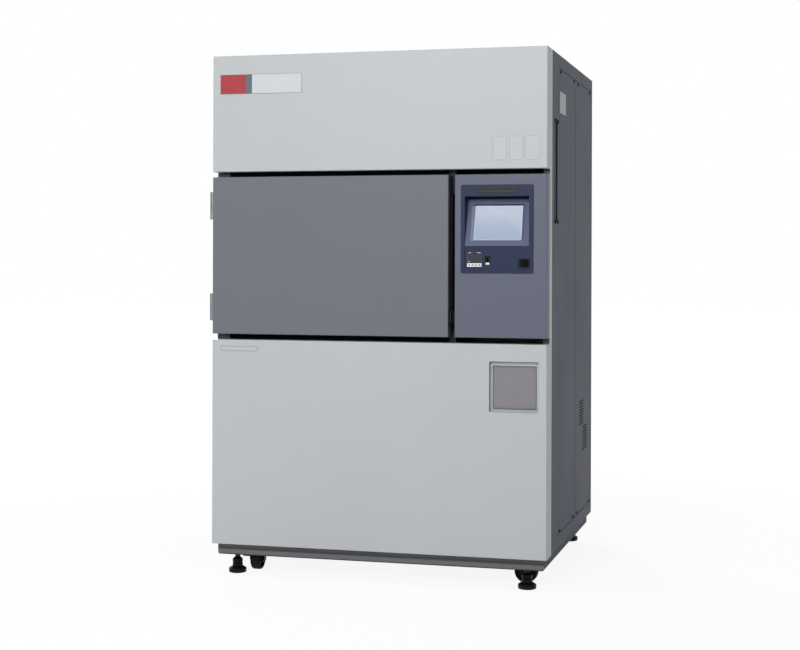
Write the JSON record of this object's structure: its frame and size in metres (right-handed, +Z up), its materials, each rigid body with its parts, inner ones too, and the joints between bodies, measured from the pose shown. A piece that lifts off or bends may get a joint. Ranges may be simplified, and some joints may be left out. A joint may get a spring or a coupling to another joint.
{
  "type": "thermal shock chamber",
  "caption": "Free-standing cabinet that moves hot and cold air through a front loading test area, with a hinged door, tilted screen panel, breaker recess, feet and braked castors.",
  "frame": {"origin": "middle of the bottom of the whole object, on the floor", "axes": "+X to the right seen from the front, +Y from the front to the rear, +Z up"},
  "size_m": [1.133, 1.0256, 1.7],
  "materials": {
    "panel_grey": "light grey powder coat, satin",
    "door_grey": "warm mid grey powder coat, satin",
    "control_grey": "blue grey powder coat, satin",
    "body_blue_grey": "dark blue grey powder coat, fine texture",
    "base_grey": "dark grey paint, satin",
    "black_metal": "black paint, semi-gloss",
    "zinc_steel": "zinc plated, dull",
    "stainless": "brushed stainless steel",
    "aluminium": "mill finish aluminium",
    "insulation": "glass wool in a foil skin",
    "silicone": "grey silicone rubber",
    "caster_tyre": "black polyurethane",
    "bezel_plastic": "dark blue grey moulded plastic",
    "screen_frame_plastic": "blue grey moulded plastic",
    "cover_plastic": "grey moulded plastic",
    "pocket_grey": "light grey powder coat",
    "instrument_black": "black moulded plastic",
    "display_glass": "clear glass over a lit display",
    "amber_lens": "dark amber lens, unlit",
    "machine_paint": "dark machine enamel"
  },
  "bodies": {
    "root": {"base_frame": "base_grey", "caster_plates": "black_metal", "front_posts": "panel_grey", "side_frames": "body_blue_grey", "side_panels_left": "body_blue_grey", "side_panels_right": "body_blue_grey", "slot_cover": "body_blue_grey", "panel_screws": "black_metal", "top_cover": "body_blue_grey", "rear_covers": "body_blue_grey", "cable_gland": "instrument_black", "upper_front_panel": "panel_grey", "lower_front_panel": "panel_grey", "control_panel": "control_grey", "chamber_stand": "zinc_steel", "insulation_body": "insulation", "test_area_liner": "stainless", "specimen_rack": "stainless", "hinge_body_leaves": "black_metal", "drive_units": "machine_paint", "heater": "stainless", "evaporator": "aluminium", "refrigeration_unit": "machine_paint", "electrical_box": "zinc_steel", "operation_bezel": "bezel_plastic", "alarm_lens": "amber_lens", "screen_module": "screen_frame_plastic", "screen_glass": "display_glass", "panel_instruments": "instrument_black", "switch_pocket": "pocket_grey", "breaker": "instrument_black"},
    "door": {"door_shell": "door_grey", "door_pan": "stainless", "door_insulation": "insulation", "door_gasket": "silicone", "door_grip": "black_metal", "hinge_door_leaves": "black_metal"},
    "latch": {"latch_lever": "black_metal"},
    "flap": {"service_flap": "bezel_plastic"},
    "flap_button": {"flap_latch": "instrument_black"},
    "cover": {"switch_cover": "cover_plastic"},
    "breaker_handle": {"breaker_lever": "instrument_black"},
    "hot_blower": {"hot_blower_wheel": "stainless"},
    "cold_blower": {"cold_blower_wheel": "stainless"},
    "hot_air_flap": {"hot_damper": "aluminium"},
    "cold_air_flap": {"cold_damper": "aluminium"},
    "foot_body_front_left": {"foot_front_left": "black_metal"},
    "fork_front_left": {"caster_fork_front_left": "black_metal"},
    "wheel_front_left": {"caster_wheel_front_left": "caster_tyre"},
    "foot_body_front_right": {"foot_front_right": "black_metal"},
    "fork_front_right": {"caster_fork_front_right": "black_metal"},
    "wheel_front_right": {"caster_wheel_front_right": "caster_tyre"},
    "foot_body_rear_left": {"foot_rear_left": "black_metal"},
    "fork_rear_left": {"caster_fork_rear_left": "black_metal"},
    "wheel_rear_left": {"caster_wheel_rear_left": "caster_tyre"},
    "foot_body_rear_right": {"foot_rear_right": "black_metal"},
    "fork_rear_right": {"caster_fork_rear_right": "black_metal"},
    "wheel_rear_right": {"caster_wheel_rear_right": "caster_tyre"},
    "brake_front_left": {"caster_brake_front_left": "black_metal"},
    "brake_front_right": {"caster_brake_front_right": "black_metal"}
  },
  "joints": [
    {"name": "door_hinge", "type": "hinge", "parent": "root", "child": "door", "pos_m": [-0.5585, -0.48725, 0.7895], "axis": [0, 0, -1], "range_deg": [0, 110]},
    {"name": "latch_pivot", "type": "hinge", "parent": "door", "child": "latch", "pos_m": [0.2555, -0.48225, 0.837], "axis": [0, 0, -1], "range_deg": [0, 10], "stiffness_Nm_per_rad": 0.6, "springref_deg": -2.86},
    {"name": "flap_hinge", "type": "hinge", "parent": "root", "child": "flap", "pos_m": [0.29975, -0.5105, 1.005], "axis": [0, 0, -1], "range_deg": [0, 100]},
    {"name": "flap_button_slide", "type": "slide", "parent": "root", "child": "flap_button", "axis": [0, 1, 0], "range_m": [0, 0.003], "stiffness_N_per_m": 250, "springref_m": -0.001},
    {"name": "cover_hinge", "type": "hinge", "parent": "root", "child": "cover", "pos_m": [0.45625, -0.48975, 0.699], "axis": [-1, 0, 0], "range_deg": [0, 95]},
    {"name": "breaker_hinge", "type": "hinge", "parent": "root", "child": "breaker_handle", "pos_m": [0.45625, -0.44315, 0.634], "axis": [1, 0, 0], "range_deg": [0, 32]},
    {"name": "hot_blower_spin", "type": "hinge", "parent": "root", "child": "hot_blower", "pos_m": [0.1485, 0.08875, 1.45], "axis": [1, 0, 0], "continuous": true},
    {"name": "cold_blower_spin", "type": "hinge", "parent": "root", "child": "cold_blower", "pos_m": [0.1485, 0.08875, 0.64], "axis": [1, 0, 0], "continuous": true},
    {"name": "hot_damper_hinge", "type": "hinge", "parent": "root", "child": "hot_air_flap", "pos_m": [0.1485, -0.01125, 1.33], "axis": [-1, 0, 0], "range_deg": [0, 80]},
    {"name": "cold_damper_hinge", "type": "hinge", "parent": "root", "child": "cold_air_flap", "pos_m": [0.1485, -0.01125, 0.764], "axis": [1, 0, 0], "range_deg": [0, 80]},
    {"name": "levelling_front_left", "type": "slide", "parent": "root", "child": "foot_body_front_left", "axis": [0, 0, 1], "range_m": [0, 0.008]},
    {"name": "swivel_front_left", "type": "hinge", "parent": "root", "child": "fork_front_left", "pos_m": [-0.4325, -0.35925, 0.0892], "axis": [0, 0, 1], "continuous": true},
    {"name": "roll_front_left", "type": "hinge", "parent": "fork_front_left", "child": "wheel_front_left", "pos_m": [-0.4325, -0.38725, 0.0375], "axis": [1, 0, 0], "continuous": true},
    {"name": "brake_front_left", "type": "hinge", "parent": "fork_front_left", "child": "brake_front_left", "pos_m": [-0.4325, -0.38725, 0.0375], "axis": [1, 0, 0], "range_deg": [0, 15]},
    {"name": "levelling_front_right", "type": "slide", "parent": "root", "child": "foot_body_front_right", "axis": [0, 0, 1], "range_m": [0, 0.008]},
    {"name": "swivel_front_right", "type": "hinge", "parent": "root", "child": "fork_front_right", "pos_m": [0.4435, -0.35925, 0.0892], "axis": [0, 0, 1], "continuous": true},
    {"name": "roll_front_right", "type": "hinge", "parent": "fork_front_right", "child": "wheel_front_right", "pos_m": [0.4715, -0.35925, 0.0375], "axis": [0, 1, 0], "continuous": true},
    {"name": "brake_front_right", "type": "hinge", "parent": "fork_front_right", "child": "brake_front_right", "pos_m": [0.4715, -0.35925, 0.0375], "axis": [0, 1, 0], "range_deg": [0, 15]},
    {"name": "levelling_rear_left", "type": "slide", "parent": "root", "child": "foot_body_rear_left", "axis": [0, 0, 1], "range_m": [0, 0.008]},
    {"name": "swivel_rear_left", "type": "hinge", "parent": "root", "child": "fork_rear_left", "pos_m": [-0.4325, 0.33075, 0.0892], "axis": [0, 0, 1], "continuous": true},
    {"name": "roll_rear_left", "type": "hinge", "parent": "fork_rear_left", "child": "wheel_rear_left", "pos_m": [-0.4325, 0.35875, 0.0375], "axis": [-1, 0, 0], "continuous": true},
    {"name": "levelling_rear_right", "type": "slide", "parent": "root", "child": "foot_body_rear_right", "axis": [0, 0, 1], "range_m": [0, 0.008]},
    {"name": "swivel_rear_right", "type": "hinge", "parent": "root", "child": "fork_rear_right", "pos_m": [0.4435, 0.33075, 0.0892], "axis": [0, 0, 1], "continuous": true},
    {"name": "roll_rear_right", "type": "hinge", "parent": "fork_rear_right", "child": "wheel_rear_right", "pos_m": [0.4715, 0.33075, 0.0375], "axis": [0, 1, 0], "continuous": true}
  ]
}
